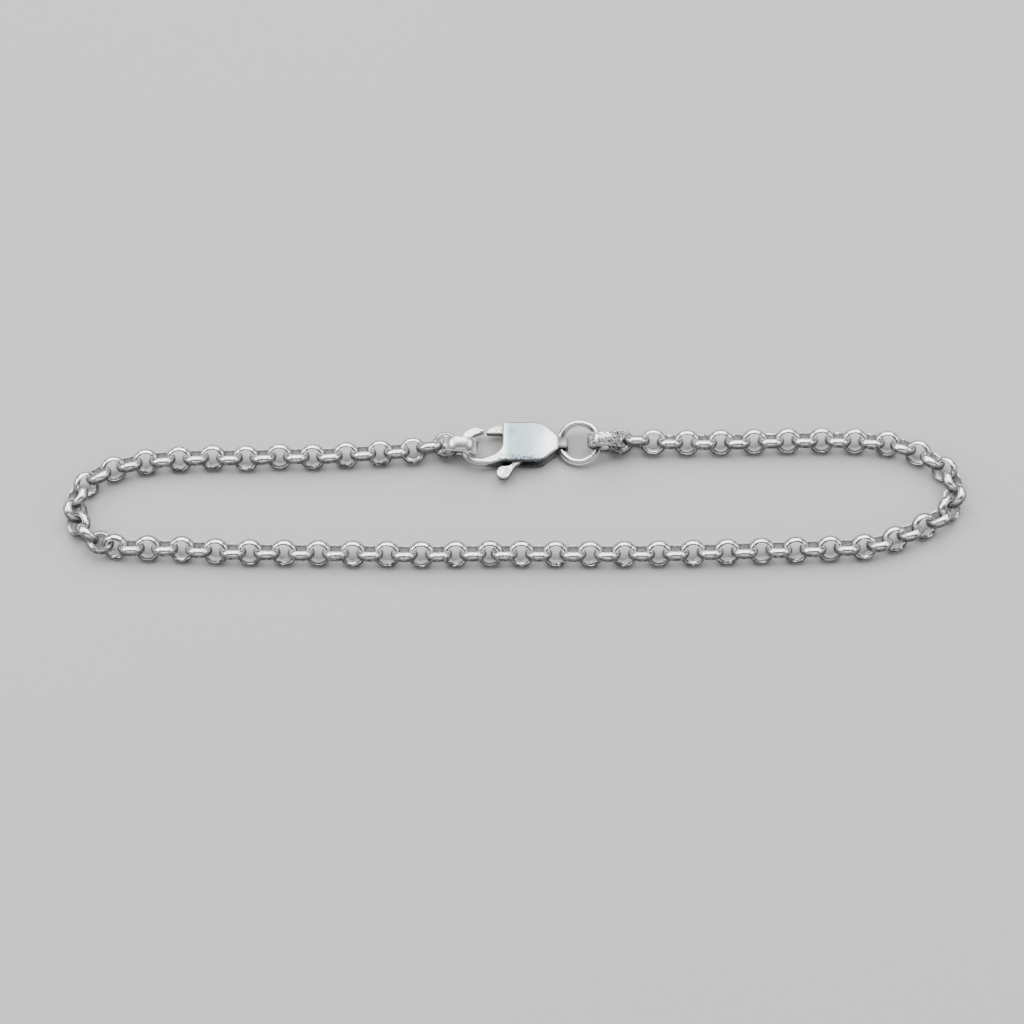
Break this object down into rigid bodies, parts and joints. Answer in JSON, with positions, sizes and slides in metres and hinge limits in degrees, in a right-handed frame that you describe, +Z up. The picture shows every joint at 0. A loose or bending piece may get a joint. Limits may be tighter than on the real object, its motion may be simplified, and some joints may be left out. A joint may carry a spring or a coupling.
{
  "type": "link bracelet",
  "caption": "Silver belcher chain bracelet lying closed, with wide end rings, a jump ring and a lobster clasp with a sprung lever.",
  "frame": {"origin": "centre of the bracelet's box, on the surface that it lies on", "axes": "+Z up, +X to the right along the closed loop's length, +Y to the back, where the clasp is"},
  "size_m": [0.0951, 0.0165, 0.0039],
  "materials": {
    "chain_silver": "polished silver, slightly speckled",
    "ring_silver": "bright polished silver",
    "clasp_silver": "satin silver plate with polished edges"
  },
  "bodies": {
    "root": {"chain_left": "chain_silver", "chain_right": "chain_silver", "end_ring_left": "ring_silver", "end_ring_right": "ring_silver", "jump_ring": "ring_silver", "clasp_body": "clasp_silver"},
    "lever": {"clasp_lever": "clasp_silver"}
  },
  "joints": [
    {"name": "clasp_lever", "type": "hinge", "parent": "root", "child": "lever", "pos_m": [0.001, 0.00565, 0.0011], "axis": [0, 0, 1], "range_deg": [0, 18], "stiffness_Nm_per_rad": 0.001, "springref_deg": -5.73}
  ]
}
